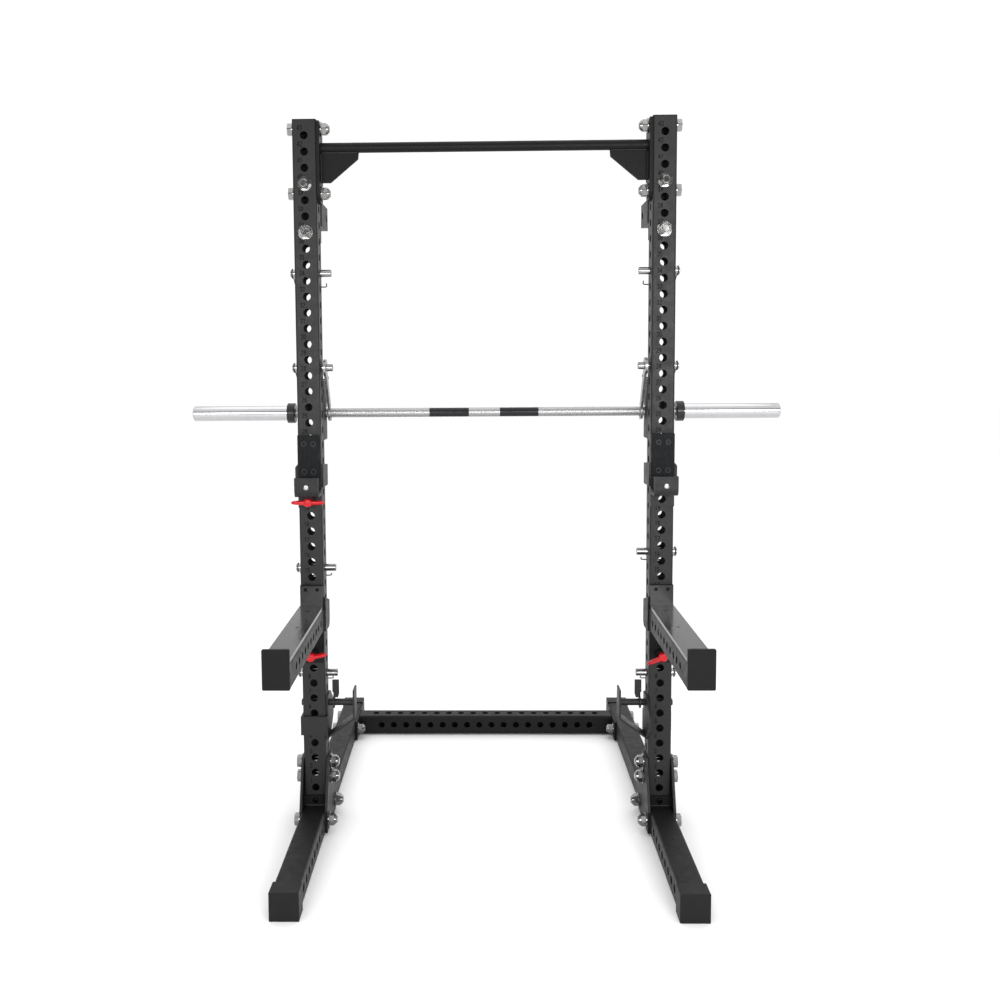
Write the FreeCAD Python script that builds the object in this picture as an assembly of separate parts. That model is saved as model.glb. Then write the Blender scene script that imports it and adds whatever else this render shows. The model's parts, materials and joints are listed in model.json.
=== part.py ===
"""Half-depth power cage: two drilled uprights on a steel base, with cups, arms, pins and a stowed bar.

Units are millimetres. +Z is up, the lifter faces the rack looking along +Y, and the origin is on
the floor under the middle of the whole object. Most pieces are drawn once about an upright's own
centre line, with +X pointing inwards, and then placed on the left or mirrored to the right.
"""
import FreeCAD, Part
import math
import os

from FreeCAD import Vector

os.makedirs("parts", exist_ok=True)

# ---- driving dimensions -------------------------------------------------------------------
TUBE = 75.0                 # square tube, outside
HALF = TUBE / 2
WALL = 4.0
TUBE_CORNER = 6.0
PLATE = 8.0                 # thick bracket plate
THIN_PLATE = 6.0            # side plates of the cups and arms
SIDE_GAP = 0.4              # air between a side plate and the upright's side
PITCH = 50.0                # hole spacing along every drilled tube
HOLE_R = 12.5
HOLE_COUNT = 43             # numbered holes in the front of an upright
FIRST_HOLE_Z = 137.0
UPRIGHT_SPACING = 1125.0    # centre to centre
UPRIGHT_TOP = 2287.0
TUBE_LIFT = 5.0             # the plastic boots hold the base tubes this far off the floor
FRONT_REACH = 617.0         # upright centre to the front of the front boots
REAR_REACH = 1036.0         # upright centre to the back of the rear boots
ARM_REACH = 658.0           # upright centre to the front of the spotter arms
UPRIGHT_Y = -(REAR_REACH - ARM_REACH) / 2   # puts the origin under the middle of the whole
BASE_MID_Z = TUBE_LIFT + HALF
BASE_TOP_Z = TUBE_LIFT + TUBE

BOLT_R = 12.0
WASHER_R = 23.5
WASHER_T = 4.0
HEX_FLATS = 36.0
HEAD_T = 15.0
NUT_T = 20.0

PIN_R = 11.75               # lock pins
PIN_FREE = 0.35             # air around a pin in the eye of a moving piece
BAR_Y = 90.0                # stowed bar, behind the upright's centre
BAR_Z = 1362.0
SHAFT_R = 15.0
BAR_END = 963.0             # centre of the bar to the end of a sleeve

LEFT = -1
RIGHT = 1
SIDES = {"left": LEFT, "right": RIGHT}


def front_hole(number):
    """Height of a numbered hole in the front face; a half number is a hole in the side faces."""
    return FIRST_HOLE_Z + PITCH * (number - 1)


# ---- drawing helpers ----------------------------------------------------------------------
def block(x, y, z):
    """Box from three (low, high) pairs."""
    return Part.makeBox(x[1] - x[0], y[1] - y[0], z[1] - z[0], Vector(x[0], y[0], z[0]))


def rod_x(radius, x0, x1, y, z):
    return Part.makeCylinder(radius, x1 - x0, Vector(x0, y, z), Vector(1, 0, 0))


def rod_y(radius, y0, y1, x, z):
    return Part.makeCylinder(radius, y1 - y0, Vector(x, y0, z), Vector(0, 1, 0))


def rod_z(radius, z0, z1, x, y):
    return Part.makeCylinder(radius, z1 - z0, Vector(x, y, z0), Vector(0, 0, 1))


def rounded_square(size, corner, length):
    """Solid square bar along +Z from the origin, with rounded long corners."""
    flat = size / 2 - corner
    out = size / 2
    edges = []
    for turn in range(4):
        spin = FreeCAD.Rotation(Vector(0, 0, 1), 90 * turn)
        edges.append(Part.LineSegment(spin.multVec(Vector(out, -flat, 0)),
                                      spin.multVec(Vector(out, flat, 0))).toShape())
        bulge = flat + corner * math.sqrt(0.5)
        edges.append(Part.Arc(spin.multVec(Vector(out, flat, 0)),
                              spin.multVec(Vector(bulge, bulge, 0)),
                              spin.multVec(Vector(flat, out, 0))).toShape())
    return Part.Face(Part.Wire(edges)).extrude(Vector(0, 0, length))


def square_tube(length, size=TUBE, wall=WALL):
    """Hollow square tube along +Z from the origin."""
    outside = rounded_square(size, TUBE_CORNER, length)
    inside = rounded_square(size - 2 * wall, TUBE_CORNER - wall, length)
    return outside.cut(inside)


def laid_along_y(shape, y0, z):
    """Turns a +Z bar to run along +Y from y0, at height z."""
    turned = shape.copy()
    turned.rotate(Vector(0, 0, 0), Vector(1, 0, 0), -90)
    turned.translate(Vector(0, y0, z))
    return turned


def laid_along_x(shape, x0, y, z):
    """Turns a +Z bar to run along +X from x0."""
    turned = shape.copy()
    turned.rotate(Vector(0, 0, 0), Vector(0, 1, 0), 90)
    turned.translate(Vector(x0, y, z))
    return turned


def plate_yz(points, x0, x1):
    """Plate cut to a (y, z) outline, between two X planes."""
    corners = [Vector(x0, y, z) for y, z in points]
    outline = Part.makePolygon(corners + corners[:1])
    return Part.Face(outline).extrude(Vector(x1 - x0, 0, 0))


def plate_xz(points, y0, y1):
    """Plate cut to an (x, z) outline, between two Y planes."""
    corners = [Vector(x, y0, z) for x, z in points]
    outline = Part.makePolygon(corners + corners[:1])
    return Part.Face(outline).extrude(Vector(0, y1 - y0, 0))


def joined(*shapes):
    """One welded piece."""
    return shapes[0].fuse(list(shapes[1:])).removeSplitter()


def placed(shape, side):
    """Moves a piece drawn about an upright's centre line to the left or right upright."""
    out = shape.copy() if side == LEFT else shape.mirror(Vector(0, 0, 0), Vector(1, 0, 0))
    out.translate(Vector(side * UPRIGHT_SPACING / 2, UPRIGHT_Y, 0))
    return out


def centred(shape):
    """Moves a piece drawn about the middle of the rack into the row's frame."""
    out = shape.copy()
    out.translate(Vector(0, UPRIGHT_Y, 0))
    return out


def save(name, shape):
    """Writes one node; a list is a group of separate solids."""
    if isinstance(shape, list):
        shape = Part.makeCompound([solid for item in shape for solid in item.Solids])
    shape.exportStep("parts/" + name + ".step")


def hexagon_x(x0, x1, y, z, flats=HEX_FLATS):
    """Hexagonal prism along X with its corners broken, for a bolt head or a nut."""
    radius = flats / math.sqrt(3)
    points = []
    for corner in range(6):
        angle = math.radians(60 * corner)
        points.append((y + radius * math.cos(angle), z + radius * math.sin(angle)))
    prism = plate_yz(points, x0, x1)
    return prism.common(rod_x(radius * 0.97, x0, x1, y, z))


# ---- frame --------------------------------------------------------------------------------
TAB_TOP = 112.0
TAB_BOLT_Z = 97.0
TAB_BOLT_R = 6.0
LEG_BOLT_Y = -67.5
RAIL_BOLT_Y = 87.5
FRONT_TUBE_END = -FRONT_REACH + TUBE_LIFT
REAR_TUBE_END = REAR_REACH - TUBE_LIFT
LEG_FIRST_HOLE_Y = -510.0
LEG_HOLES = 8
FLANGE_BOLT_Y = (775.0, 922.0)
CROSS_FRONT_Y = 811.0
CAP_LIP = 3.0
BOOT_LENGTH = 60.0


def upright():
    """Drilled upright: numbered holes front to back, half-pitch holes side to side."""
    tube = square_tube(UPRIGHT_TOP - CAP_LIP - TUBE_LIFT)
    tube.translate(Vector(0, 0, TUBE_LIFT))
    drills = []
    for number in range(1, HOLE_COUNT + 1):
        drills.append(rod_y(HOLE_R, -TUBE, TUBE, 0, front_hole(number)))
        drills.append(rod_x(HOLE_R, -TUBE, TUBE, 0, front_hole(number + 0.5)))
    drills.append(rod_y(TAB_BOLT_R, -TUBE, 0, 0, TAB_BOLT_Z))
    return tube.cut(drills)


def front_leg():
    """Front leg with the welded tab that bolts to the front of the upright."""
    tube = laid_along_y(square_tube(-HALF - FRONT_TUBE_END), FRONT_TUBE_END, BASE_MID_Z)
    tab = block((-HALF, HALF), (-HALF - PLATE, -HALF), (BASE_TOP_Z - 0.5, TAB_TOP))
    drills = [rod_x(HOLE_R, -TUBE, TUBE, LEG_FIRST_HOLE_Y + PITCH * step, BASE_MID_Z)
              for step in range(LEG_HOLES)]
    drills.append(rod_x(HOLE_R, -TUBE, TUBE, LEG_BOLT_Y, BASE_MID_Z))
    drills.append(rod_y(TAB_BOLT_R, -TUBE, 0, 0, TAB_BOLT_Z))
    return tube.fuse(tab).cut(drills)


def rear_rail():
    """Floor rail behind the upright, drilled for the gusset bolt and the cross-member flange."""
    tube = laid_along_y(square_tube(REAR_TUBE_END - HALF), HALF, BASE_MID_Z)
    drills = [rod_x(HOLE_R, -TUBE, TUBE, y, BASE_MID_Z) for y in (RAIL_BOLT_Y,) + FLANGE_BOLT_Y]
    return tube.cut(drills)


def boot(y_end, y_mouth):
    """Plastic boot over the end of a base tube; it is the foot that stands on the floor."""
    thick = 4.5
    low, high = sorted((y_end, y_mouth))
    shell = block((-HALF - thick, HALF + thick), (low, high), (0, BASE_TOP_Z + thick - 1))
    shell = shell.makeFillet(2.5, [edge for edge in shell.Edges if abs(edge.Length - (high - low)) < 0.1])
    tube_end = y_end + math.copysign(TUBE_LIFT, y_mouth - y_end)
    inner_low, inner_high = sorted((tube_end, y_mouth))
    hollow = laid_along_y(rounded_square(TUBE, TUBE_CORNER, inner_high - inner_low), inner_low, BASE_MID_Z)
    return shell.cut(hollow)


def upright_cap():
    """Plastic plug in the top of an upright."""
    lip = rounded_square(TUBE, TUBE_CORNER, CAP_LIP)
    lip.translate(Vector(0, 0, UPRIGHT_TOP - CAP_LIP))
    plug = rounded_square(TUBE - 2 * WALL, TUBE_CORNER - WALL, 10)
    plug.translate(Vector(0, 0, UPRIGHT_TOP - CAP_LIP - 10))
    return lip.fuse(plug)


def base_gusset(x0):
    """Tapered plate that ties the upright, the front leg and the rear rail together."""
    outline = [(-95, 8), (125, 8), (125, 78), (HALF, 236), (-HALF, 236), (-95, 78)]
    plate = plate_yz(outline, x0, x0 + PLATE)
    drills = [rod_x(HOLE_R, x0 - 1, x0 + PLATE + 1, 0, front_hole(number)) for number in (1.5, 2.5)]
    drills += [rod_x(HOLE_R, x0 - 1, x0 + PLATE + 1, y, BASE_MID_Z) for y in (LEG_BOLT_Y, RAIL_BOLT_Y)]
    return plate.cut(drills)


def cross_member():
    """Rear cross-member with a welded flange at each end."""
    reach = UPRIGHT_SPACING / 2 - HALF
    tube = laid_along_x(square_tube(2 * (reach - PLATE)), -reach + PLATE, CROSS_FRONT_Y + HALF, BASE_MID_Z)
    drills = []
    for step in range(18):
        drills.append(rod_y(HOLE_R, 700, 1000, PITCH * (step - 8.5), BASE_MID_Z))
    for step in range(19):
        drills.append(rod_z(HOLE_R, -10, 200, PITCH * (step - 9), CROSS_FRONT_Y + HALF))
    shape = tube.cut(drills)
    for x0 in (-reach, reach - PLATE):
        flange = block((x0, x0 + PLATE), (740, 957), (TUBE_LIFT, BASE_TOP_Z))
        flange = flange.cut([rod_x(HOLE_R, x0 - 1, x0 + PLATE + 1, y, BASE_MID_Z) for y in FLANGE_BOLT_Y])
        shape = shape.fuse(flange)
    return shape


# ---- pull-up bar and top brackets ---------------------------------------------------------
PULL_UP_Z = 2204.0
PULL_UP_R = 16.0
PULL_UP_WALL = 3.0
END_PLATE_T = 10.0
END_PLATE_Z = (2030.0, 2282.0)
TOP_BOLTS = (39.5, 43.5)
BRACKET_BOLTS = (37, 40)
STUB_END_Y = 195.0
REST_HOLES = (24, 25, 27)      # the rests are drilled beside these front holes only


def pull_up_bar():
    """Round bar between the two end plates."""
    reach = UPRIGHT_SPACING / 2 - HALF - END_PLATE_T
    bar = rod_x(PULL_UP_R, -reach, reach, 0, PULL_UP_Z)
    return bar.cut(rod_x(PULL_UP_R - PULL_UP_WALL, -reach, reach, 0, PULL_UP_Z))


def pull_up_end_plate():
    """Bolted end plate with the gusset that stiffens the bar."""
    low, high = END_PLATE_Z
    outline = [(-HALF + 18, low), (HALF - 18, low), (HALF, low + 24),
               (HALF, high), (-HALF, high), (-HALF, low + 24)]
    plate = plate_yz(outline, HALF, HALF + END_PLATE_T)
    plate = plate.cut([rod_x(HOLE_R, 0, TUBE, 0, front_hole(number)) for number in TOP_BOLTS])
    face = HALF + END_PLATE_T
    top = PULL_UP_Z - PULL_UP_R + 1.0
    outline = [(face - 0.5, 2095), (face + 30, 2095), (face + 118, 2168),
               (face + 120, top), (face - 0.5, top)]
    gusset = plate_xz(outline, -PLATE / 2, PLATE / 2)
    gusset = gusset.cut(rod_x(PULL_UP_R, 0, 400, 0, PULL_UP_Z))
    return plate.fuse(gusset)


def top_rear_bracket():
    """Backing plate with a tapered box stub for rear extensions."""
    back = block((-HALF, HALF), (HALF, HALF + PLATE), (1912, 2262))
    back = back.cut([rod_y(HOLE_R, 0, TUBE, 0, front_hole(number)) for number in BRACKET_BOLTS])
    start = HALF + PLATE - 0.5
    outer = plate_yz([(start, 1963), (STUB_END_Y, 1968), (STUB_END_Y, 2042), (start, 2044)], -HALF, HALF)
    wall = 5.0
    hollow = plate_yz([(start, 1963 + wall), (STUB_END_Y + 1, 1968 + wall),
                       (STUB_END_Y + 1, 2042 - wall), (start, 2044 - wall)], -HALF + wall, HALF - wall)
    hole = rod_x(HOLE_R, -TUBE, TUBE, STUB_END_Y - 30, 2005)
    return back.fuse(outer.cut([hollow, hole]))


def rear_bar_rest():
    """Notched bracket behind the upright; its two cheeks carry the stowed bar."""
    low, high = 1276.0, 1470.0
    back = block((-HALF, HALF), (HALF, HALF + THIN_PLATE), (low, high))
    back = back.cut([rod_y(HOLE_R, 0, TUBE, 0, front_hole(number)) for number in REST_HOLES])
    shape = back
    seat = SHAFT_R + 0.5
    for x0 in (-HALF, HALF - THIN_PLATE):
        cheek = block((x0, x0 + THIN_PLATE), (HALF, BAR_Y + 15), (low, high))
        notch = rod_x(seat, x0 - 1, x0 + THIN_PLATE + 1, BAR_Y, BAR_Z)
        mouth = block((x0 - 1, x0 + THIN_PLATE + 1), (BAR_Y, BAR_Y + 30), (BAR_Z - seat, BAR_Z + seat + 3))
        shape = shape.fuse(cheek.cut([notch, mouth]))
    return shape


# ---- cups ---------------------------------------------------------------------------------
FRONT_Y = -HALF
CUP_PLATE_Z = (1065.0, 1296.0)
CUP_FLOOR_Z = 1106.0
CUP_LIP_TOP = 1168.0
CUP_LIP_Y = -118.0
CUP_PIN_Z = front_hole(20)
ARM_PIN_Z = front_hole(10)
BARREL_R = 18.0
BARREL_T = 26.0
BARREL_WALL = 3.0
STEM_R = 8.0
NOSE_R = 12.0
LINER_T = 12.0
EAR_END_Y = 55.0               # back edge of the ear beside the upright


def fixed_stud(z):
    """Stud welded to the back of a bracket that stands in a hole of the upright."""
    return rod_y(NOSE_R, FRONT_Y - 1, FRONT_Y + 25, 0, z)


def pin_barrel(z):
    """Spring housing welded in front of a bracket plate."""
    start = FRONT_Y - PLATE
    tube = rod_y(BARREL_R, start - BARREL_T, start, 0, z)
    bore = rod_y(HOLE_R, start - BARREL_T + BARREL_WALL, start + 1, 0, z)
    neck = rod_y(STEM_R + PIN_FREE, start - BARREL_T - 1, start, 0, z)
    return tube.cut([bore, neck])


def folded_wing(low, high, y_back):
    """Wing of a back plate that folds round the outside of the upright; its top corner is cut off."""
    face = -HALF - SIDE_GAP
    front = FRONT_Y - PLATE
    flap = block((face - PLATE, face), (front, y_back), (low, high))
    root = block((face - PLATE, -HALF + 2), (front, FRONT_Y), (low, high))
    edge = face - PLATE
    outline = [(edge - 1, high - 10), (edge, high - 10), (edge + 9, high + 1), (edge - 1, high + 1)]
    corner = plate_xz(outline, front - 1, y_back + 1)
    return flap.fuse(root).cut(corner)


def cup(with_barrel):
    """Cup for the bar: back plate with a wing and an ear, and a folded floor and lip."""
    low, high = CUP_PLATE_Z
    back = block((-HALF, HALF), (FRONT_Y - PLATE, FRONT_Y), (low, high))
    fold = 22.0
    tray = block((-HALF, HALF), (CUP_LIP_Y, FRONT_Y - PLATE + 0.5), (CUP_FLOOR_Z, CUP_LIP_TOP))
    tray = tray.makeFillet(fold, [edge for edge in tray.Edges
                                  if abs(edge.CenterOfMass.y - CUP_LIP_Y) < 0.1
                                  and abs(edge.CenterOfMass.z - CUP_FLOOR_Z) < 0.1])
    pocket = block((-HALF - 1, HALF + 1), (CUP_LIP_Y + PLATE, FRONT_Y - PLATE + 1),
                   (CUP_FLOOR_Z + PLATE, CUP_LIP_TOP + TUBE))
    pocket = pocket.makeFillet(fold - PLATE, [edge for edge in pocket.Edges
                                              if abs(edge.CenterOfMass.y - CUP_LIP_Y - PLATE) < 0.1
                                              and abs(edge.CenterOfMass.z - CUP_FLOOR_Z - PLATE) < 0.1])
    tray = tray.cut(pocket)
    wing = folded_wing(CUP_FLOOR_Z, 1205.0, 36.0)
    ear_low, ear_high = 1130.0, 1206.0
    ear_line = [(FRONT_Y - PLATE, ear_low), (EAR_END_Y, ear_low - 2), (EAR_END_Y, ear_high - 10),
                (FRONT_Y - PLATE, ear_high)]
    ear = plate_yz(ear_line, HALF + SIDE_GAP, HALF + SIDE_GAP + THIN_PLATE)
    ear_root = block((HALF - 2, HALF + 1), (FRONT_Y - PLATE, FRONT_Y), (ear_low, ear_high))
    shape = joined(back, tray, wing, ear, ear_root, fixed_stud(front_hole(23)))
    shape = shape.cut([rod_y(HOLE_R, FRONT_Y - PLATE - 1, FRONT_Y + 1, 0, CUP_PIN_Z),
                       rod_y(BUTTON_SHANK_R, CUP_LIP_Y - 1, CUP_LIP_Y + PLATE + 1, 0, BUTTON_Z)])
    return shape.fuse(pin_barrel(CUP_PIN_Z)) if with_barrel else shape


def cup_liner():
    """Plastic pads: a tall one on the back plate, one on the floor and one inside the lip."""
    start = FRONT_Y - PLATE
    tall = block((-35.5, 35.5), (start - LINER_T, start), (1163, 1298))
    rims = [edge for edge in tall.Edges if abs(edge.CenterOfMass.y - start + LINER_T) < 0.1]
    tall = tall.makeChamfer(1.5, rims)
    floor = block((-HALF, HALF), (-95, start), (CUP_FLOOR_Z + PLATE, CUP_FLOOR_Z + PLATE + 10))
    lip = block((-HALF, HALF), (CUP_LIP_Y + PLATE, CUP_LIP_Y + PLATE + 8), (1129, CUP_LIP_TOP))
    return [tall, floor, lip]


# ---- spotter arms -------------------------------------------------------------------------
ARM_TUBE_Z = 663.0
ARM_TUBE_END = -ARM_REACH + PLATE
ARM_TOP = ARM_TUBE_Z + TUBE
ARM_LINER_T = 10.0
ARM_BACK_T = 8.0
ARM_HOLE_R = 11.0
ARM_HOLES = 10
ARM_FIRST_HOLE_Y = -556.0


def spotter_arm():
    """Safety arm: back plate, drilled arm, raised end plate and an ear beside the upright."""
    start = FRONT_Y - PLATE
    back = block((-HALF, HALF), (start, FRONT_Y), (557, 812))
    tube = laid_along_y(square_tube(start + 0.5 - ARM_TUBE_END), ARM_TUBE_END, ARM_TUBE_Z + HALF)
    tube = tube.cut([rod_x(ARM_HOLE_R, -TUBE, TUBE, ARM_FIRST_HOLE_Y + PITCH * step, ARM_TUBE_Z + HALF)
                     for step in range(ARM_HOLES)])
    end = block((-HALF, HALF), (-ARM_REACH, ARM_TUBE_END + 0.5), (ARM_TUBE_Z, ARM_TUBE_Z + 111))
    end = end.makeFillet(4, [edge for edge in end.Edges if abs(edge.Length - PLATE - 0.5) < 0.1])
    ear_low, ear_high = 661.0, 773.0
    ear_line = [(start, ear_low), (30, ear_low - 3), (45, ear_low + 11),
                (45, ear_high - 27), (start, ear_high)]
    ear = plate_yz(ear_line, HALF + SIDE_GAP, HALF + SIDE_GAP + THIN_PLATE)
    ear_root = block((HALF - 2, HALF + 1), (start, FRONT_Y), (ear_low, ear_high))
    shape = joined(back, tube, end, ear, ear_root, fixed_stud(front_hole(14)))
    shape = shape.cut(rod_y(HOLE_R, start - 1, FRONT_Y + 1, 0, ARM_PIN_Z))
    return shape.fuse(pin_barrel(ARM_PIN_Z))


def arm_liner():
    """Plastic pads on the top of the arm and on its back plate."""
    start = FRONT_Y - PLATE
    top = block((-HALF, HALF), (ARM_TUBE_END + 0.5, start), (ARM_TOP, ARM_TOP + ARM_LINER_T))
    back = block((-HALF + 1, HALF - 1), (start - ARM_BACK_T, start), (ARM_TOP + ARM_LINER_T, 811))
    return [top, back]


# ---- side cradles -------------------------------------------------------------------------
CRADLE_ROD_Z = front_hole(6.5)
CRADLE_LIP_X = 125.0
CRADLE_ROD_R = 11.0
CRADLE_DEPTH = 31.0
CRADLE_DISC_R = 20.0
CRADLE_DISC_X = 58.0


def side_cradle():
    """Cradle beside the upright: wrap strap, bent hook bar and a short ear."""
    side = HALF + SIDE_GAP
    wrap = block((-side - THIN_PLATE, side + THIN_PLATE), (FRONT_Y - PLATE, FRONT_Y), (315, 377))
    outer = block((-side - THIN_PLATE, -side), (FRONT_Y - PLATE, 0), (315, 377))
    inner = plate_yz([(FRONT_Y - PLATE, 300), (HALF, 300), (98, 345), (98, 395), (HALF, 440), (-30, 440),
                      (-30, 377), (FRONT_Y - PLATE, 377)], side, side + THIN_PLATE)
    lip_in = CRADLE_LIP_X
    lip_out = CRADLE_LIP_X + THIN_PLATE
    bend = [(side + THIN_PLATE - 1, 306), (lip_in, 367), (lip_in, 459), (lip_out, 459), (lip_out, 363),
            (side + THIN_PLATE - 1, 298.5)]
    hook = plate_xz(bend, -CRADLE_DEPTH, CRADLE_DEPTH)
    eye = rod_x(CRADLE_ROD_R + 0.4, -TUBE, CRADLE_LIP_X + 1, 0, CRADLE_ROD_Z)
    return joined(wrap, outer, inner, hook).cut(eye)


def cradle_rod():
    """Rod through the upright that locks the cradle, with a welded disc and the stop tab above it."""
    shaft = rod_x(CRADLE_ROD_R, -HALF - 9, CRADLE_LIP_X, 0, CRADLE_ROD_Z)
    tip = -HALF - 9
    shaft = shaft.makeChamfer(1.5, [edge for edge in shaft.Edges if abs(edge.CenterOfMass.x - tip) < 0.1])
    disc = rod_x(CRADLE_DISC_R, CRADLE_DISC_X, CRADLE_DISC_X + 4, 0, CRADLE_ROD_Z)
    tab = plate_xz([(55, 446), (55, 487), (77, 487), (77, 440), (73, 428), (58, 428), (58, 446)], -3, 3)
    return joined(shaft, disc, tab)


def turned_about(shape):
    """Half a turn about the upright's own centre line."""
    out = shape.copy()
    out.rotate(Vector(0, 0, 0), Vector(0, 0, 1), 180)
    return out


def on_right_turned(shape):
    """The same piece as on the left, turned half a turn, so its strap is behind the upright."""
    out = turned_about(shape)
    out.translate(Vector(UPRIGHT_SPACING / 2, UPRIGHT_Y, 0))
    return out


# ---- fasteners ----------------------------------------------------------------------------
def bolt_along_x(y, z, x_head, x_nut):
    """Bolt whose head bears at x_head (outside) and whose nut bears at x_nut (inside)."""
    shank = rod_x(BOLT_R, x_head - WASHER_T, x_nut + WASHER_T + NUT_T + 5, y, z)
    shank = shank.makeChamfer(2.5, [edge for edge in shank.Edges
                                    if abs(edge.CenterOfMass.x - x_nut - WASHER_T - NUT_T - 5) < 0.1])
    head = hexagon_x(x_head - WASHER_T - HEAD_T, x_head - WASHER_T, y, z)
    return joined(shank, head)


def washer_x(x0, y, z):
    return rod_x(WASHER_R, x0, x0 + WASHER_T, y, z).cut(rod_x(BOLT_R, x0, x0 + WASHER_T, y, z))


def nut_x(x0, y, z):
    """Lock nut: a hexagon with a round collar for the plastic ring."""
    flats = hexagon_x(x0, x0 + NUT_T - 5, y, z)
    collar = rod_x(HEX_FLATS / 2 - 1.5, x0 + NUT_T - 5, x0 + NUT_T, y, z)
    return flats.fuse(collar).cut(rod_x(BOLT_R, x0, x0 + NUT_T, y, z))


def turned_to_y(shape, z):
    """Turns a fastener drawn along +X so that its head is behind and its nut in front."""
    out = shape.copy()
    out.rotate(Vector(0, 0, z), Vector(0, 0, 1), -90)
    return out


def frame_fasteners():
    """Heavy bolts of one side, with their nuts and washers, as two groups."""
    inside_top = HALF + END_PLATE_T
    seats = [(0, front_hole(number), -HALF, inside_top) for number in TOP_BOLTS]
    seats += [(0, front_hole(number), -HALF - PLATE, HALF + PLATE) for number in (1.5, 2.5)]
    seats += [(y, BASE_MID_Z, -HALF - PLATE, HALF + PLATE) for y in (LEG_BOLT_Y, RAIL_BOLT_Y)]
    seats += [(y, BASE_MID_Z, -HALF, HALF + PLATE) for y in FLANGE_BOLT_Y]
    bolts, nuts = [], []
    for y, z, x_head, x_nut in seats:
        bolts.append(bolt_along_x(y, z, x_head, x_nut))
        nuts.append(washer_x(x_head - WASHER_T, y, z))
        nuts.append(washer_x(x_nut, y, z))
        nuts.append(nut_x(x_nut + WASHER_T, y, z))
    for number in BRACKET_BOLTS:
        z = front_hole(number)
        bolts.append(turned_to_y(bolt_along_x(0, z, -HALF - PLATE, HALF), z))
        head_washer = washer_x(-HALF - PLATE - WASHER_T, 0, z)
        for item in (head_washer, washer_x(HALF, 0, z), nut_x(HALF + WASHER_T, 0, z)):
            nuts.append(turned_to_y(item, z))
    return bolts, nuts


SOCKET_R = 2.6
SOCKET_DEPTH = 2.5
HEAD_DEPTH = 5.0
SHANK_R = 4.0
CUP_SCREWS = [(x, z) for x in (-15.0, 15.0) for z in (1182.0, 1271.0)]
ARM_BACK_SCREWS = [(-19.0, 799.0), (19.0, 799.0)]
ARM_TOP_SCREWS = [(0.0, -130.0), (0.0, -330.0), (0.0, -560.0)]


def screw_seat(x, y, z, into, radius, depth):
    """Countersunk screw without its socket, from its flat head in the direction of into."""
    cone = Part.makeCone(radius, SHANK_R, HEAD_DEPTH, Vector(x, y, z), into)
    shank = Part.makeCylinder(SHANK_R, depth, Vector(x, y, z), into)
    return cone.fuse(shank)


def pad_screw_seats():
    """Seats for the screws that hold the plastic pads of one side, keyed by pad."""
    start = FRONT_Y - PLATE
    back, down = Vector(0, 1, 0), Vector(0, 0, -1)
    cup_seats = [screw_seat(x, start - LINER_T, z, back, 8.0, LINER_T) for x, z in CUP_SCREWS]
    arm_seats = [screw_seat(x, start - ARM_BACK_T, z, back, 6.0, ARM_BACK_T) for x, z in ARM_BACK_SCREWS]
    arm_seats += [screw_seat(x, y, ARM_TOP + ARM_LINER_T, down, 8.0, ARM_LINER_T)
                  for x, y in ARM_TOP_SCREWS]
    return cup_seats, arm_seats


BUTTON_Z = 1139.0
BUTTON_SHANK_R = 6.0
BUTTON_HEAD_R = 9.0
BUTTON_HEAD_T = 6.0


def button_screws():
    """Domed screws of one side: in the middle of the cup's lip and in the leg's tab."""
    screws = []
    for y, z in ((CUP_LIP_Y, BUTTON_Z), (FRONT_Y - PLATE, TAB_BOLT_Z)):
        head = rod_y(BUTTON_HEAD_R, y - BUTTON_HEAD_T, y, 0, z)
        head = head.makeFillet(4.5, [edge for edge in head.Edges
                                     if abs(edge.CenterOfMass.y - y + BUTTON_HEAD_T) < 0.1])
        shank = rod_y(BUTTON_SHANK_R, y - 1, y + PLATE + WALL, 0, z)
        socket = rod_y(3.5, y - BUTTON_HEAD_T, y - BUTTON_HEAD_T + 3.5, 0, z)
        screws.append(joined(head, shank).cut(socket))
    return screws


def pad_screws():
    """Countersunk screws of one side that hold the plastic pads, each with its hexagon socket."""
    start = FRONT_Y - PLATE
    face = start - LINER_T
    sockets = [rod_y(SOCKET_R, face, face + SOCKET_DEPTH, x, z) for x, z in CUP_SCREWS]
    sockets += [rod_y(SOCKET_R, start - ARM_BACK_T, start - ARM_BACK_T + SOCKET_DEPTH, x, z)
                for x, z in ARM_BACK_SCREWS]
    top = ARM_TOP + ARM_LINER_T
    sockets += [rod_z(SOCKET_R, top - SOCKET_DEPTH, top, x, y) for x, y in ARM_TOP_SCREWS]
    cup_seats, arm_seats = pad_screw_seats()
    return [seat.cut(socket) for seat, socket in zip(cup_seats + arm_seats, sockets)]


# ---- moving pieces ------------------------------------------------------------------------
NOSE_TIP_Y = FRONT_Y + 18
NOSE_SHOULDER_Y = FRONT_Y - PLATE + 1
HANDLE_Y = (-100.0, -76.0)


def pull_pin(z):
    """Spring pin: a nose that stands in the hole and a thinner stem to the handle."""
    nose = rod_y(NOSE_R, NOSE_SHOULDER_Y, NOSE_TIP_Y, 0, z)
    tip_edges = [edge for edge in nose.Edges if abs(edge.CenterOfMass.y - NOSE_TIP_Y) < 0.1]
    nose = nose.makeChamfer(2.0, tip_edges)
    stem = rod_y(STEM_R, HANDLE_Y[1] - 6, NOSE_SHOULDER_Y, 0, z)
    return joined(nose, stem)


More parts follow.
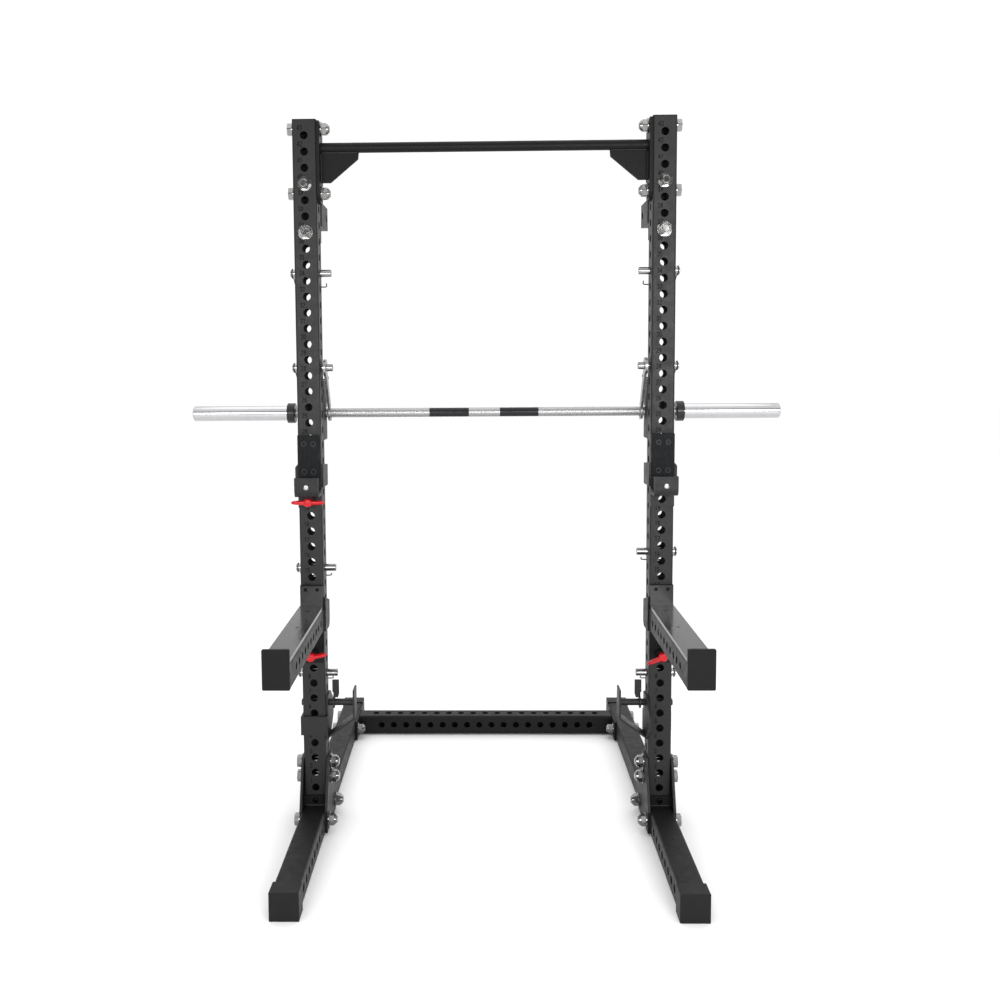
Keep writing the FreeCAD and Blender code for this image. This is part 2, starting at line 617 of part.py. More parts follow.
def pull_handle(z, tilt=0.0):
    """Wide rounded grip across the front of the pin, with a boss in the middle."""
    half_width, half_height = 54.0, 10.0
    centre_y = sum(HANDLE_Y) / 2
    half_depth = (HANDLE_Y[1] - HANDLE_Y[0]) / 2 - 2
    grip = block((-half_width, half_width), (centre_y - half_depth, centre_y + half_depth),
                 (z - half_height, z + half_height))
    grip = grip.makeFillet(half_height - 1, [edge for edge in grip.Edges
                                             if abs(edge.CenterOfMass.y - centre_y) < 0.1])
    rims = [edge for edge in grip.Edges if abs(abs(edge.CenterOfMass.y - centre_y) - half_depth) < 0.1]
    grip = grip.makeFillet(4.0, rims)
    boss = rod_y(14.0, centre_y - half_depth - 2, centre_y + half_depth + 2, 0, z)
    socket = rod_y(STEM_R, HANDLE_Y[1] - 6, HANDLE_Y[1] + 1, 0, z)
    shape = joined(grip, boss).cut(socket)
    shape.rotate(Vector(0, 0, z), Vector(0, 1, 0), tilt)
    return shape


PIN_OUT_X = -55.5
PIN_IN_X = 74.5
WIRE_R = 2.0
BAIL_X = -50.0
BAIL_LEG = 73.0
BAIL_DROP = 32.2            # degrees below level
BAIL_TIP_X = 51.0


def lock_pin(z):
    """Plain pin through the side holes, with a collar that bears on the outside."""
    pin = rod_x(PIN_R, PIN_OUT_X, PIN_IN_X, 0, z)
    pin = pin.makeChamfer(1.5, [edge for edge in pin.Edges if abs(edge.CenterOfMass.x - PIN_IN_X) < 0.1
                                or abs(edge.CenterOfMass.x - PIN_OUT_X) < 0.1])
    collar = rod_x(15.0, -HALF - 5.4, -HALF - 0.4, 0, z)
    return joined(pin, collar)


def wire_bail(z):
    """Wire keeper: a ring round the pin's outer end, a leg and a bar behind the upright."""
    ring = Part.makeTorus(PIN_R + PIN_FREE + WIRE_R, WIRE_R, Vector(BAIL_X, 0, 0), Vector(1, 0, 0))
    bend = 8.0
    near = BAIL_LEG - bend
    diag = bend * math.sqrt(0.5)
    ring_out = PIN_R + PIN_FREE + WIRE_R
    corners = [Vector(BAIL_X, 0, -ring_out), Vector(BAIL_X, 0, -near),
               Vector(BAIL_X + bend, 0, -BAIL_LEG), Vector(BAIL_TIP_X - bend, 0, -BAIL_LEG),
               Vector(BAIL_TIP_X, 0, -near), Vector(BAIL_TIP_X, 0, -near + 10)]
    first_mid = Vector(BAIL_X + bend - diag, 0, -near - diag)
    second_mid = Vector(BAIL_TIP_X - bend + diag, 0, -near - diag)
    path = Part.Wire([Part.LineSegment(corners[0], corners[1]).toShape(),
                      Part.Arc(corners[1], first_mid, corners[2]).toShape(),
                      Part.LineSegment(corners[2], corners[3]).toShape(),
                      Part.Arc(corners[3], second_mid, corners[4]).toShape(),
                      Part.LineSegment(corners[4], corners[5]).toShape()])
    section = Part.Wire([Part.makeCircle(WIRE_R, corners[0], Vector(0, 0, 1))])
    wire = path.makePipeShell([section], True, False)
    shape = wire.fuse(ring)
    shape.rotate(Vector(0, 0, 0), Vector(1, 0, 0), 90 - BAIL_DROP)
    shape.translate(Vector(0, 0, z))
    return shape


HANGER_X = (45.5, 53.5)
HANGER_PIN_Z = front_hole(28.5)


def bar_hanger():
    """Flat steel hanger: an eye on the lock pin and a hook round the front of the bar."""
    x0, x1 = HANGER_X
    drop = HANGER_PIN_Z - BAR_Z
    arm = math.hypot(BAR_Y, drop)
    lean = math.degrees(math.atan2(BAR_Y, drop))
    eye = rod_x(27.0, x0, x1, 0, 0)
    strap = block((x0, x1), (-14.0, 14.0), (-arm, 0))
    hook = rod_x(SHAFT_R + 11.5, x0, x1, 0, -arm)
    seat = SHAFT_R + 0.45
    way_out = rod_x(arm + seat + 0.4, x0 - 1, x1 + 1, 0, 0)
    way_out = way_out.cut(rod_x(arm - seat - 0.4, x0 - 1, x1 + 1, 0, 0))
    way_out = way_out.common(block((x0 - 1, x1 + 1), (0, 60), (-arm - 60, -arm / 2)))
    cuts = [rod_x(PIN_R + PIN_FREE, x0 - 1, x1 + 1, 0, 0), rod_x(seat, x0 - 1, x1 + 1, 0, -arm), way_out]
    shape = joined(eye, strap, hook).cut(cuts)
    shape.rotate(Vector(0, 0, 0), Vector(1, 0, 0), lean)
    shape.translate(Vector(0, 0, HANGER_PIN_Z))
    return shape


COLLAR_IN = 626.0
COLLAR_OUT = 652.0
COLLAR_R = 33.0
SLEEVE_R = 24.75
SPINDLE_R = 12.5
RUNNING = 0.05


def bar_shaft():
    """Bar shaft with a turned-down spindle inside each sleeve."""
    shaft = rod_x(SHAFT_R, -COLLAR_IN, COLLAR_IN, BAR_Y, BAR_Z)
    spindle = rod_x(SPINDLE_R, -BAR_END + 6, BAR_END - 6, BAR_Y, BAR_Z)
    return joined(shaft, spindle)


def bar_collar(side):
    """Stop collar at the inner end of a sleeve."""
    inner, outer = sorted((side * (COLLAR_IN + 0.5), side * COLLAR_OUT))
    ring = rod_x(COLLAR_R, inner, outer, BAR_Y, BAR_Z)
    ring = ring.makeChamfer(1.5, [edge for edge in ring.Edges if edge.Length > 2 * COLLAR_R * 3])
    return ring.cut(rod_x(SPINDLE_R + RUNNING, inner - 1, outer + 1, BAR_Y, BAR_Z))


def bar_sleeve(side):
    """Rotating sleeve for the plates, closed at its outer end."""
    inner, outer = sorted((side * COLLAR_OUT, side * BAR_END))
    tube = rod_x(SLEEVE_R, inner, outer, BAR_Y, BAR_Z)
    rims = [edge for edge in tube.Edges if abs(edge.CenterOfMass.x - side * BAR_END) < 0.1]
    tube = tube.makeChamfer(2.0, rims)
    bore_in, bore_out = sorted((side * (COLLAR_OUT - 1), side * (BAR_END - 5.5)))
    return tube.cut(rod_x(SPINDLE_R + RUNNING, bore_in, bore_out, BAR_Y, BAR_Z))


# ---- writing the nodes --------------------------------------------------------------------
PIN_HOLES = {"left": (34.5, 28.5, 15.5, 8.5), "right": (34.5, 28.5, 16.5, 8.5)}
HANDLE_TILT = {"left": -11.0, "right": 24.0}


def write_frame():
    """The bolted frame: uprights, base, pull-up bar, rear brackets and plastic ends."""
    boots = []
    for name, side in SIDES.items():
        save("upright_" + name, placed(upright(), side))
        save("front_leg_" + name, placed(front_leg(), side))
        save("rear_rail_" + name, placed(rear_rail(), side))
        save("base_gussets_" + name, [placed(base_gusset(x0), side) for x0 in (-HALF - PLATE, HALF)])
        save("pull_up_end_plate_" + name, placed(pull_up_end_plate(), side))
        save("top_rear_bracket_" + name, placed(top_rear_bracket(), side))
        save("rear_bar_rest_" + name, placed(rear_bar_rest(), side))
        boots.append(placed(boot(-FRONT_REACH, -FRONT_REACH + BOOT_LENGTH), side))
        boots.append(placed(boot(REAR_REACH, REAR_REACH - BOOT_LENGTH), side))
        boots.append(placed(upright_cap(), side))
    save("plastic_end_caps", boots)
    save("rear_cross_member", centred(cross_member()))
    save("pull_up_bar", centred(pull_up_bar()))


def write_attachments():
    """Cups, spotter arms and side cradles, with their pads and rods."""
    for name, side in SIDES.items():
        save("cup_" + name, placed(cup(side == LEFT), side))
        save("cup_liner_" + name, [placed(item, side) for item in cup_liner_drilled()])
        save("spotter_arm_" + name, placed(spotter_arm(), side))
        save("spotter_arm_liner_" + name, [placed(item, side) for item in arm_liner_drilled()])
    save("side_cradle_left", placed(side_cradle(), LEFT))
    save("side_cradle_right", on_right_turned(side_cradle()))
    save("cradle_rods", [placed(cradle_rod(), LEFT), on_right_turned(cradle_rod())])


def cup_liner_drilled():
    """Cup pads with the screw seats cut out."""
    tall, floor, lip = cup_liner()
    button_hole = rod_y(BUTTON_SHANK_R, -TUBE * 2, FRONT_Y, 0, BUTTON_Z)
    return [tall.cut(pad_screw_seats()[0]), floor, lip.cut(button_hole)]


def arm_liner_drilled():
    """Arm pads with the screw seats cut out."""
    return [item.cut(pad_screw_seats()[1]) for item in arm_liner()]


def write_fasteners():
    """Bolts, nuts, washers and screws of both sides."""
    bolts, nuts, small = [], [], []
    for side in SIDES.values():
        side_bolts, side_nuts = frame_fasteners()
        bolts += [placed(item, side) for item in side_bolts]
        nuts += [placed(item, side) for item in side_nuts]
        small += [placed(item, side) for item in button_screws() + pad_screws()]
    save("frame_bolts", bolts)
    save("frame_nuts_and_washers", nuts)
    save("small_screws", small)


def write_moving_pieces():
    """Pins, bails, hangers, pull pins and the stowed bar."""
    for name, side in SIDES.items():
        for number in PIN_HOLES[name]:
            label = name + "_" + str(int(number))
            save("lock_pin_" + label, placed(lock_pin(front_hole(number)), side))
            save("pin_bail_" + label, placed(wire_bail(front_hole(number)), side))
        save("bar_hanger_" + name, placed(bar_hanger(), side))
        save("bar_sleeve_" + name, centred(bar_sleeve(side)))
        save("bar_collar_" + name, centred(bar_collar(side)))
        save("arm_pull_pin_" + name, placed(pull_pin(ARM_PIN_Z), side))
        save("arm_pull_handle_" + name, placed(pull_handle(ARM_PIN_Z, HANDLE_TILT[name]), side))
    save("cup_pull_pin", placed(pull_pin(CUP_PIN_Z), LEFT))
    save("cup_pull_handle", placed(pull_handle(CUP_PIN_Z), LEFT))
    save("bar_shaft", centred(bar_shaft()))


write_frame()
write_attachments()
write_fasteners()
write_moving_pieces()
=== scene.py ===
"""Looks of a steel half rack: powder coat, plated fasteners, plastic pads, red pull handles and a stowed bar.

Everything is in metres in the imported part's own frame: +Z up, the lifter looks along +Y.
"""
import json
import logging
import math
from dataclasses import dataclass, field
from enum import Enum

import bmesh
import bpy
from mathutils import Matrix, Vector


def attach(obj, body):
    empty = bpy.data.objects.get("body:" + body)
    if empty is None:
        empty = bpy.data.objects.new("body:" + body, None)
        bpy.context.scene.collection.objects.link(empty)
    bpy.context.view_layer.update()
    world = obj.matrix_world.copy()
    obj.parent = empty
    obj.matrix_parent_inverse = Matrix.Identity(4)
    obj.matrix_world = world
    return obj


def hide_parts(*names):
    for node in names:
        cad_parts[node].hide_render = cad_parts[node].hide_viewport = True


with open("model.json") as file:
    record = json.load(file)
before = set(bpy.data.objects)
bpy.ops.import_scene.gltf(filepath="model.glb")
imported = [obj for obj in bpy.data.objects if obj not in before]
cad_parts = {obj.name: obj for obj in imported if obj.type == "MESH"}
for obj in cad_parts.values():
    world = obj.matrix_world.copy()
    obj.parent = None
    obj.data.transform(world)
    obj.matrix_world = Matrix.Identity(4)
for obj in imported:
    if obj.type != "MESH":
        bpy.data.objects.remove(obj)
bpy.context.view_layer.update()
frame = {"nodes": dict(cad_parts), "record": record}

log = logging.getLogger("rack")

UPRIGHT_X = 0.5625
UPRIGHT_Y = -0.189
HALF_TUBE = 0.0375
FRONT_FACE_Y = UPRIGHT_Y - HALF_TUBE
BAR_Y = UPRIGHT_Y + 0.090
BAR_Z = 1.362
FIRST_HOLE_Z = 0.137
HOLE_PITCH = 0.050
CUP_PIN_HOLE = 20
ARM_PIN_HOLE = 10
RGB = tuple[float, float, float]
XYZ = tuple[float, float, float]
SPAN = tuple[float, float]


def front_hole(number: int) -> float:
    """Height of a numbered hole in an upright's front face."""
    return FIRST_HOLE_Z + HOLE_PITCH * (number - 1)


class Side(Enum):
    """Left and right, as the sign of X."""

    LEFT = -1
    RIGHT = 1

    @property
    def word(self) -> str:
        """Name of the side as the CAD nodes spell it."""
        return self.name.lower()


class Wiring:
    """A material's node tree with short calls for the nodes that the finishes use.

    A noise value mostly stays between the two shares NOISE_LOW and NOISE_HIGH.
    """

    NOISE_LOW = 0.3
    NOISE_HIGH = 0.7

    def __init__(self, name: str) -> None:
        """Starts an empty material that holds one Principled shader.

        Args:
            name: the material's name.
        """
        self.material = bpy.data.materials.new(name)
        self.material.use_nodes = True
        self.tree = self.material.node_tree
        self.shader = self.tree.nodes["Principled BSDF"]

    def node(self, kind: str, **settings: object) -> bpy.types.Node:
        """Adds a node and sets its properties.

        Args:
            kind: the node's Blender class.
            settings: property values by name.

        Returns:
            The new node.
        """
        made = self.tree.nodes.new(kind)
        for key, value in settings.items():
            setattr(made, key, value)
        return made

    def link(self, source: bpy.types.NodeSocket, target: bpy.types.NodeSocket) -> None:
        """Joins two sockets."""
        self.tree.links.new(source, target)

    def place(self) -> bpy.types.NodeSocket:
        """Object coordinates, in metres."""
        return self.node("ShaderNodeTexCoord").outputs["Object"]

    def math(self, operation: str, first: object, second: object = 0.0) -> bpy.types.NodeSocket:
        """Adds a Math node.

        Args:
            operation: the Math operation.
            first: a socket or a number.
            second: a socket or a number.

        Returns:
            The node's output.
        """
        made = self.node("ShaderNodeMath", operation=operation)
        for slot, value in zip(made.inputs, (first, second)):
            if isinstance(value, (int, float)):
                slot.default_value = value
            else:
                self.link(value, slot)
        return made.outputs[0]

    def noise(self, scale: float, detail: float = 2.0,
              stretch: XYZ = (1.0, 1.0, 1.0)) -> bpy.types.NodeSocket:
        """Noise over the object's own coordinates.

        Args:
            scale: lumps per metre.
            detail: octaves.
            stretch: how much finer the noise is along each axis.

        Returns:
            The noise value, about 0.5 on average.
        """
        mapping = self.node("ShaderNodeMapping")
        mapping.inputs["Scale"].default_value = stretch
        self.link(self.place(), mapping.inputs["Vector"])
        made = self.node("ShaderNodeTexNoise")
        made.inputs["Scale"].default_value = scale
        made.inputs["Detail"].default_value = detail
        self.link(mapping.outputs["Vector"], made.inputs["Vector"])
        return made.outputs["Fac"]

    def between(self, factor: bpy.types.NodeSocket, low: RGB, high: RGB, start: float = NOISE_LOW,
                end: float = NOISE_HIGH) -> bpy.types.NodeSocket:
        """Colour ramp over a factor.

        Args:
            factor: the value that drives the ramp.
            low: colour up to start.
            high: colour from end on.
            start: the factor where the change starts.
            end: the factor where it ends.

        Returns:
            The colour.
        """
        ramp = self.node("ShaderNodeValToRGB")
        ramp.color_ramp.elements[0].position = start
        ramp.color_ramp.elements[0].color = (*low, 1.0)
        ramp.color_ramp.elements[1].position = end
        ramp.color_ramp.elements[1].color = (*high, 1.0)
        self.link(factor, ramp.inputs["Fac"])
        return ramp.outputs["Color"]

    def span(self, factor: bpy.types.NodeSocket, low: float, high: float) -> bpy.types.NodeSocket:
        """Number that runs from low to high over a noise value's usual range.

        Args:
            factor: the noise value.
            low: the number at the low end.
            high: the number at the high end.

        Returns:
            The number's socket.
        """
        made = self.node("ShaderNodeMapRange")
        limits = (self.NOISE_LOW, self.NOISE_HIGH, low, high)
        for slot, value in zip(("From Min", "From Max", "To Min", "To Max"), limits):
            made.inputs[slot].default_value = value
        self.link(factor, made.inputs["Value"])
        return made.outputs["Result"]

    def relief(self, height: bpy.types.NodeSocket, depth: float, strength: float) -> None:
        """Gives the surface a relief.

        Args:
            height: the relief's height, from 0 to 1.
            depth: how many metres that height stands for.
            strength: share of the relief that shows.
        """
        bump = self.node("ShaderNodeBump")
        bump.inputs["Strength"].default_value = strength
        bump.inputs["Distance"].default_value = depth
        self.link(height, bump.inputs["Height"])
        self.link(bump.outputs["Normal"], self.shader.inputs["Normal"])

    def tint(self, factor: bpy.types.NodeSocket, low: RGB, high: RGB, start: float = NOISE_LOW,
             end: float = NOISE_HIGH) -> None:
        """Drives the base colour with a ramp; the arguments are those of between."""
        self.link(self.between(factor, low, high, start, end), self.shader.inputs["Base Color"])

    def roughen(self, factor: bpy.types.NodeSocket, low: float, high: float) -> None:
        """Drives the roughness; the arguments are those of span."""
        self.link(self.span(factor, low, high), self.shader.inputs["Roughness"])

    def set(self, **values: object) -> None:
        """Sets the shader's own sockets; an underscore stands for a space in a socket's name."""
        for key, value in values.items():
            self.shader.inputs[key.replace("_", " ")].default_value = value


def shades(colour: RGB, gains: SPAN) -> tuple[RGB, ...]:
    """The colour made lighter or darker by each of two factors."""
    return tuple(tuple(min(1.0, part * gain) for part in colour) for gain in gains)


def spread(middle: float, drift: SPAN) -> SPAN:
    """The two ends of a range that drifts below and above its middle."""
    return middle + drift[0], middle + drift[1]


@dataclass(frozen=True)
class PowderCoat:
    """Fine-textured satin powder coat on steel.

    Args:
        colour: base colour.
        roughness: middle roughness.
        grain: texture lumps per metre.
        shine: strength of the surface's own reflection.
        drift: patches of drifting tone per metre.
        rub: rubbed patches per metre.
        relief_depth: depth of the orange peel, in metres.
        tones: darkest and lightest share of the colour.
        wear: how far the roughness drifts below and above its middle.
    """

    colour: RGB = (0.0120, 0.0122, 0.0127)
    roughness: float = 0.47
    grain: float = 950.0
    shine: float = 0.30
    drift: float = 4.0
    rub: float = 38.0
    relief_depth: float = 0.00022
    tones: SPAN = (0.88, 1.12)
    wear: SPAN = (-0.06, 0.08)

    def material(self, name: str) -> bpy.types.Material:
        """Builds the finish: orange-peel grain, drifting tone and slightly rubbed patches."""
        w = Wiring(name)
        w.tint(w.noise(self.drift, 4.0), *shades(self.colour, self.tones))
        w.roughen(w.noise(self.rub, 5.0), *spread(self.roughness, self.wear))
        w.relief(w.noise(self.grain, 2.0), self.relief_depth, 0.55)
        w.set(Specular_IOR_Level=self.shine)
        return w.material


@dataclass(frozen=True)
class PlatedSteel:
    """Zinc or nickel plate on turned, drawn or pressed steel.

    Args:
        colour: metal colour.
        roughness: middle roughness.
        lay: how the fine tool marks are stretched along X, Y and Z.
        clouds: clouds in the plate per metre.
        marks: tool marks per metre.
        mark_depth: depth of the tool marks, in metres.
        tones: darkest and lightest share of the colour.
        wear: how far the roughness drifts below and above its middle.
    """

    colour: RGB = (0.27, 0.27, 0.266)
    roughness: float = 0.14
    lay: XYZ = (1.0, 1.0, 1.0)
    clouds: float = 60.0
    marks: float = 420.0
    mark_depth: float = 0.00003
    tones: SPAN = (0.82, 1.0)
    wear: SPAN = (-0.06, 0.08)

    def material(self, name: str) -> bpy.types.Material:
        """Builds the finish: clouded plate with fine tool marks."""
        w = Wiring(name)
        w.set(Metallic=1.0)
        cloud = w.noise(self.clouds, 5.0)
        w.tint(cloud, *shades(self.colour, self.tones))
        w.roughen(cloud, *spread(self.roughness, self.wear))
        w.relief(w.noise(self.marks, 2.0, self.lay), self.mark_depth, 0.1)
        return w.material


@dataclass(frozen=True)
class Chrome:
    """Polished chrome with faint handling haze.

    Args:
        colour: metal colour.
        roughness: middle roughness.
        haze: patches of haze per metre.
        tones: darkest and lightest share of the colour.
        polish: least and greatest share of the roughness.
    """

    colour: RGB = (0.50, 0.50, 0.51)
    roughness: float = 0.09
    haze: float = 45.0
    tones: SPAN = (0.93, 1.0)
    polish: SPAN = (0.6, 1.9)

    def material(self, name: str) -> bpy.types.Material:
        """Builds the finish."""
        w = Wiring(name)
        w.set(Metallic=1.0)
        haze = w.noise(self.haze, 6.0)
        w.tint(haze, *shades(self.colour, self.tones))
        smoothest, roughest = self.polish
        w.roughen(haze, self.roughness * smoothest, self.roughness * roughest)
        return w.material


@dataclass(frozen=True)
class ScrewSteel:
    """Pad screws coloured dark as painted shade of their countersunk recesses, and the bright domed screw in
    each cup's lip.

    Args:
        dark: colour of the pad screws, a painted shade of the recesses they sit in.
        bright: colour of the domed screws.
        bright_from: height where the bright screws start.
        bright_to: height where they end.
        clouds: clouds in the finish per metre.
        roughness: smoothest and roughest finish.
    """

    dark: RGB = (0.010, 0.010, 0.0105)
    bright: RGB = (0.42, 0.42, 0.42)
    bright_from: float = 1.125
    bright_to: float = 1.155
    clouds: float = 90.0
    roughness: SPAN = (0.2, 0.34)

    def material(self, name: str) -> bpy.types.Material:
        """Builds the finish."""
        w = Wiring(name)
        w.set(Metallic=1.0)
        split = w.node("ShaderNodeSeparateXYZ")
        w.link(w.place(), split.inputs[0])
        height = split.outputs["Z"]
        # Outside the lip's band the screws take the dark colour: painted shade of the pads' countersunk
        # recesses.
        is_bright = w.math("MULTIPLY", w.math("GREATER_THAN", height, self.bright_from),
                           w.math("LESS_THAN", height, self.bright_to))
        cloud = w.noise(self.clouds, 4.0)
        tone = w.math("MULTIPLY", is_bright, w.math("ADD", w.math("MULTIPLY", cloud, 0.2), 0.9))
        w.tint(tone, self.dark, self.bright, 0.1, 1.0)
        w.roughen(cloud, *self.roughness)
        return w.material


@dataclass(frozen=True)
class MouldedPlastic:
    """Moulded or extruded plastic: boots, caps and red grips.

    Args:
        colour: base colour.
        roughness: middle roughness.
        coat: clear gloss over the surface.
        relief: depth of the moulded texture, in metres.
        shine: strength of the surface's own reflection.
        flow: flow patches per metre.
        grain: texture lumps per metre.
        tones: darkest and lightest share of the colour.
        wear: how far the roughness drifts below and above its middle.
    """

    colour: RGB = (0.0075, 0.0075, 0.0083)
    roughness: float = 0.5
    coat: float = 0.0
    relief: float = 0.0001
    shine: float = 0.2
    flow: float = 22.0
    grain: float = 520.0
    tones: SPAN = (0.86, 1.1)
    wear: SPAN = (-0.05, 0.07)

    def material(self, name: str) -> bpy.types.Material:
        """Builds the finish: fine moulded grain and uneven gloss."""
        w = Wiring(name)
        flow = w.noise(self.flow, 4.0)
        w.tint(flow, *shades(self.colour, self.tones))
        w.roughen(flow, *spread(self.roughness, self.wear))
        w.relief(w.noise(self.grain, 3.0), self.relief, 0.5)
        w.set(Coat_Weight=self.coat, Coat_Roughness=0.08, Specular_IOR_Level=self.shine)
        return w.material


@dataclass(frozen=True)
class PadSheet:
    """Machined wear pad with scuffs from the bar.

    Args:
        colour: base colour.
        roughness: roughness of the clean sheet.
        scuff: how light the scuffs are.
        stroke: stretch of the scuffs along X, Y and Z.
        relief: depth of the marks, in metres.
        shine: strength of the surface's own reflection.
        marks: saw marks per metre.
        showing: noise values where the scuffs start and are full.
        wear: how far the roughness drifts below and above its middle.
    """

    colour: RGB = (0.0045, 0.0052, 0.0056)
    roughness: float = 0.58
    scuff: float = 3.4
    stroke: XYZ = (1.0, 1.0, 0.12)
    relief: float = 0.00012
    shine: float = 0.14
    marks: float = 260.0
    showing: SPAN = (0.5, 0.72)
    wear: SPAN = (-0.04, 0.14)

    def material(self, name: str) -> bpy.types.Material:
        """Builds the finish: saw-cut relief and pale scuffs that run the way the bar slides."""
        w = Wiring(name)
        marks = w.noise(self.marks, 6.0, self.stroke)
        w.tint(marks, *shades(self.colour, (1.0, self.scuff)), *self.showing)
        w.roughen(marks, *spread(self.roughness, self.wear))
        w.relief(marks, self.relief, 0.45)
        w.set(Specular_IOR_Level=self.shine)
        return w.material


@dataclass(frozen=True)
class KnurledBar:
    """Bright bar shaft: diamond knurl with two smooth dark bands beside the middle.

    Args:
        axis_y: Y of the bar's axis.
        axis_z: Z of the bar's axis.
        pitch: knurl pitch along the bar.
        starts: knurl ridges round the bar.
        bands: the smooth bands, as (from, to) along X.
        steel: colour of the knurled steel.
        dark: colour of the smooth bands.
        ridge_height: height of the knurl, in metres.
        wear: worn patches per metre.
        roughness: smoothest and roughest steel.
    """

    axis_y: float = BAR_Y
    axis_z: float = BAR_Z
    pitch: float = 0.0021
    starts: int = 46
    bands: tuple[SPAN, ...] = ((-0.183, -0.053), (0.049, 0.176))
    steel: RGB = (0.33, 0.33, 0.33)
    dark: RGB = (0.030, 0.030, 0.032)
    ridge_height: float = 0.0001
    wear: float = 70.0
    roughness: SPAN = (0.22, 0.36)

    def material(self, name: str) -> bpy.types.Material:
        """Builds the finish: two crossing sets of ridges, left out in the smooth bands."""
        w = Wiring(name)
        w.set(Metallic=1.0)
        split = w.node("ShaderNodeSeparateXYZ")
        w.link(w.place(), split.inputs[0])
        x, y, z = split.outputs
        turn = w.math("ARCTAN2", w.math("SUBTRACT", z, self.axis_z), w.math("SUBTRACT", y, self.axis_y))
        along = w.math("MULTIPLY", x, 2 * math.pi / self.pitch)
        around = w.math("MULTIPLY", turn, float(self.starts))
        ridges = w.math("MULTIPLY", w.math("SINE", w.math("ADD", along, around)),
                        w.math("SINE", w.math("SUBTRACT", along, around)))
        smooth = 0.0
        for start, end in self.bands:
            inside = w.math("MULTIPLY", w.math("GREATER_THAN", x, start), w.math("LESS_THAN", x, end))
            smooth = w.math("ADD", inside, smooth)
        height = w.math("MULTIPLY", ridges, w.math("SUBTRACT", 1.0, smooth))
        w.relief(height, self.ridge_height, 0.6)
        w.tint(smooth, self.steel, self.dark, 0.4, 0.6)
        w.roughen(w.noise(self.wear, 5.0), *self.roughness)
        return w.material


class Finish(Enum):
    """The finish of each of the record's material slots."""

    upright_paint = PowderCoat()
    # base_paint, gusset_paint and pull_up_paint are darker copies of the uprights' powder coat: painted shade
    # for parts low down and at the top, where less light falls.
    base_paint = PowderCoat(colour=(0.0062, 0.0063, 0.0066), roughness=0.46, shine=0.15)
    gusset_paint = PowderCoat(colour=(0.0085, 0.0086, 0.0090), roughness=0.48, shine=0.21)
    pull_up_paint = PowderCoat(colour=(0.0062, 0.0063, 0.0066), roughness=0.44, shine=0.14)
    bracket_paint = PowderCoat(roughness=0.49)
    cup_paint = PowderCoat(roughness=0.50)
    # arm_paint is a darker copy of the same powder coat: painted shade for the low spotter arms.
    arm_paint = PowderCoat(colour=(0.0060, 0.0061, 0.0064), roughness=0.45, shine=0.14)
    cradle_paint = PowderCoat(roughness=0.46, grain=900.0)
    cap_plastic = MouldedPlastic()
    pad_plastic = PadSheet()
    arm_pad_plastic = PadSheet(colour=(0.016, 0.0163, 0.017), roughness=0.12, scuff=1.4,
                               stroke=(1.0, 0.1, 1.0), relief=0.000012, shine=0.3)
    bolt_zinc = PlatedSteel()
    nut_zinc = PlatedSteel(colour=(0.25, 0.25, 0.246), roughness=0.12)
    screw_steel = ScrewSteel()
    pin_steel = Chrome(colour=(0.30, 0.30, 0.31), roughness=0.11)
    bail_wire = PlatedSteel(colour=(0.12, 0.12, 0.12), roughness=0.25)
    pull_pin_steel = PlatedSteel(roughness=0.2)
    handle_red = MouldedPlastic(colour=(0.50, 0.002, 0.008), roughness=0.32, coat=0.12,
                                relief=0.00003, shine=0.3)
    hanger_steel = PlatedSteel(colour=(0.33, 0.32, 0.308), roughness=0.3, lay=(1.0, 0.2, 0.2))
    shaft_steel = KnurledBar()
    sleeve_chrome = Chrome()
    collar_black = MouldedPlastic(colour=(0.018, 0.018, 0.019), roughness=0.35, coat=0.15, relief=0.00008)


class Workshop:
    """Makes each finish once, dresses the CAD nodes and adds meshes that ride on a body."""

    def __init__(self) -> None:
        """Builds the finishes, by slot name because two slots may share one finish."""
        self.materials: dict[str, bpy.types.Material] = {
            name: finish.value.material(name) for name, finish in Finish.__members__.items()}

    def dress_nodes(self) -> None:
        """Gives every CAD node the finish of its material slot."""
        for part in frame["record"]["subparts"]:
            node = frame["nodes"][part["node"]]
            node.data.materials.clear()
            node.data.materials.append(self.materials[part["material_slot"]])
            log.info("%s: %s", part["node"], part["material_slot"])

    def add(self, name: str, shape: bmesh.types.BMesh, slot: str, body: str,
            smooth: bool = True) -> bpy.types.Object:
        """Turns a mesh into a piece of the rack.

        Args:
            name: the piece's name.
            shape: its mesh, in the part's frame; it is freed.
            slot: the material slot whose finish it takes.
            body: the CAD body that it rides on.
            smooth: whether its faces are shaded smooth.

        Returns:
            The new object.
        """
        bmesh.ops.recalc_face_normals(shape, faces=shape.faces)
        mesh = bpy.data.meshes.new(name)
        shape.to_mesh(mesh)
        shape.free()
        mesh.polygons.foreach_set("use_smooth", [smooth] * len(mesh.polygons))
        mesh.materials.append(self.materials[slot] if slot in self.materials else bpy.data.materials[slot])
        piece = bpy.data.objects.new(name, mesh)
        bpy.context.scene.collection.objects.link(piece)
        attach(piece, body)
        log.info("%s: %d faces on %s", name, len(mesh.polygons), body)
        return piece


def full_turn(count: int) -> list[float]:
    """Evenly spaced angles round a full turn, in radians."""
    return [2 * math.pi * step / count for step in range(count)]


def ring_loft(shape: bmesh.types.BMesh, rings: list[list[Vector]], closed: bool = False) -> None:
    """Skins a row of rings that all have the same number of points.

    Args:
        shape: the mesh that gets the skin.
        rings: the rings in order.
        closed: whether the last ring joins the first; if not, both ends are capped.
    """
    made = [[shape.verts.new(point) for point in ring] for ring in rings]
    pairs = list(zip(made, made[1:])) + ([(made[-1], made[0])] if closed else [])
    for low, high in pairs:
        for index in range(len(low)):
            after = (index + 1) % len(low)
            shape.faces.new((low[index], low[after], high[after], high[index]))
    if not closed:
        shape.faces.new(made[0])
        shape.faces.new(list(reversed(made[-1])))


